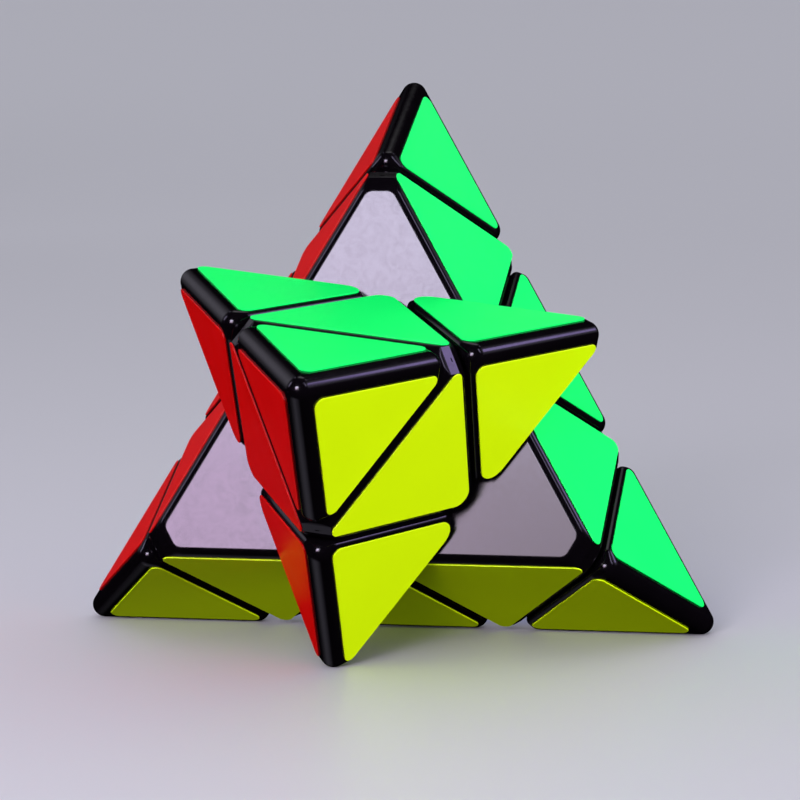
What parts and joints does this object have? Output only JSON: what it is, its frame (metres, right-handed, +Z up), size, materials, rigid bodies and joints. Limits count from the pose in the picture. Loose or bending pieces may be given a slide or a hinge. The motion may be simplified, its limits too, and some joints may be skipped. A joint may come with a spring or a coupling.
{
  "type": "pyramid twisty puzzle",
  "caption": "Four-sided pyramid puzzle cut into corner tips, centre pieces and edge pieces round a sprung core, shown with its front layer part way through a turn.",
  "frame": {"origin": "middle of the bounding box's base, on the surface that the puzzle stands on", "axes": "+X from the left to the right corner of the standing edge, +Z up, -Y towards the front layer and its tip"},
  "size_m": [0.0934, 0.0866, 0.079],
  "materials": {
    "black_abs": "gloss moulded ABS",
    "core_nylon": "satin moulded nylon",
    "plated_steel": "zinc plated",
    "spring_wire": "drawn spring wire",
    "green_vinyl": "gloss vinyl sticker",
    "red_vinyl": "gloss vinyl sticker",
    "yellow_vinyl": "gloss vinyl sticker",
    "blue_vinyl": "gloss vinyl sticker"
  },
  "bodies": {
    "back_layers": {"core": "core_nylon", "tension_screws": "plated_steel", "tension_springs": "spring_wire", "spring_washers": "plated_steel", "top_centre_shell": "black_abs", "left_centre_shell": "black_abs", "right_centre_shell": "black_abs", "top_centre_base": "black_abs", "left_centre_base": "black_abs", "right_centre_base": "black_abs", "top_left_edge_shell": "black_abs", "top_right_edge_shell": "black_abs", "left_right_edge_shell": "black_abs", "top_left_edge_foot": "black_abs", "top_right_edge_foot": "black_abs", "left_right_edge_foot": "black_abs", "back_layer_green_stickers": "green_vinyl", "back_layer_red_stickers": "red_vinyl", "back_layer_yellow_stickers": "yellow_vinyl", "back_layer_blue_stickers": "blue_vinyl"},
    "front_layer": {"front_centre_shell": "black_abs", "front_centre_base": "black_abs", "front_top_edge_shell": "black_abs", "front_left_edge_shell": "black_abs", "front_right_edge_shell": "black_abs", "front_top_edge_foot": "black_abs", "front_left_edge_foot": "black_abs", "front_right_edge_foot": "black_abs", "front_layer_green_stickers": "green_vinyl", "front_layer_red_stickers": "red_vinyl", "front_layer_yellow_stickers": "yellow_vinyl"},
    "front_tip": {"front_tip_cap": "black_abs", "front_tip_base": "black_abs", "front_tip_green_sticker": "green_vinyl", "front_tip_red_sticker": "red_vinyl", "front_tip_yellow_sticker": "yellow_vinyl"},
    "top_tip": {"top_tip_cap": "black_abs", "top_tip_base": "black_abs", "top_tip_green_sticker": "green_vinyl", "top_tip_red_sticker": "red_vinyl", "top_tip_blue_sticker": "blue_vinyl"},
    "left_tip": {"left_tip_cap": "black_abs", "left_tip_base": "black_abs", "left_tip_red_sticker": "red_vinyl", "left_tip_yellow_sticker": "yellow_vinyl", "left_tip_blue_sticker": "blue_vinyl"},
    "right_tip": {"right_tip_cap": "black_abs", "right_tip_base": "black_abs", "right_tip_green_sticker": "green_vinyl", "right_tip_yellow_sticker": "yellow_vinyl", "right_tip_blue_sticker": "blue_vinyl"}
  },
  "joints": [
    {"name": "front_layer_turn", "type": "hinge", "parent": "back_layers", "child": "front_layer", "pos_m": [0, 0.01164, 0.03106], "axis": [0, -0.9722, 0.234], "continuous": true},
    {"name": "front_tip_turn", "type": "hinge", "parent": "front_layer", "child": "front_tip", "pos_m": [0, 0.01164, 0.03106], "axis": [0, -0.9722, 0.234], "continuous": true},
    {"name": "top_tip_turn", "type": "hinge", "parent": "back_layers", "child": "top_tip", "pos_m": [0, 0.01164, 0.03106], "axis": [0, 0.5447, 0.8386], "continuous": true},
    {"name": "left_tip_turn", "type": "hinge", "parent": "back_layers", "child": "left_tip", "pos_m": [0, 0.01164, 0.03106], "axis": [-0.8165, 0.2138, -0.5363], "continuous": true},
    {"name": "right_tip_turn", "type": "hinge", "parent": "back_layers", "child": "right_tip", "pos_m": [0, 0.01164, 0.03106], "axis": [0.8165, 0.2138, -0.5363], "continuous": true}
  ]
}
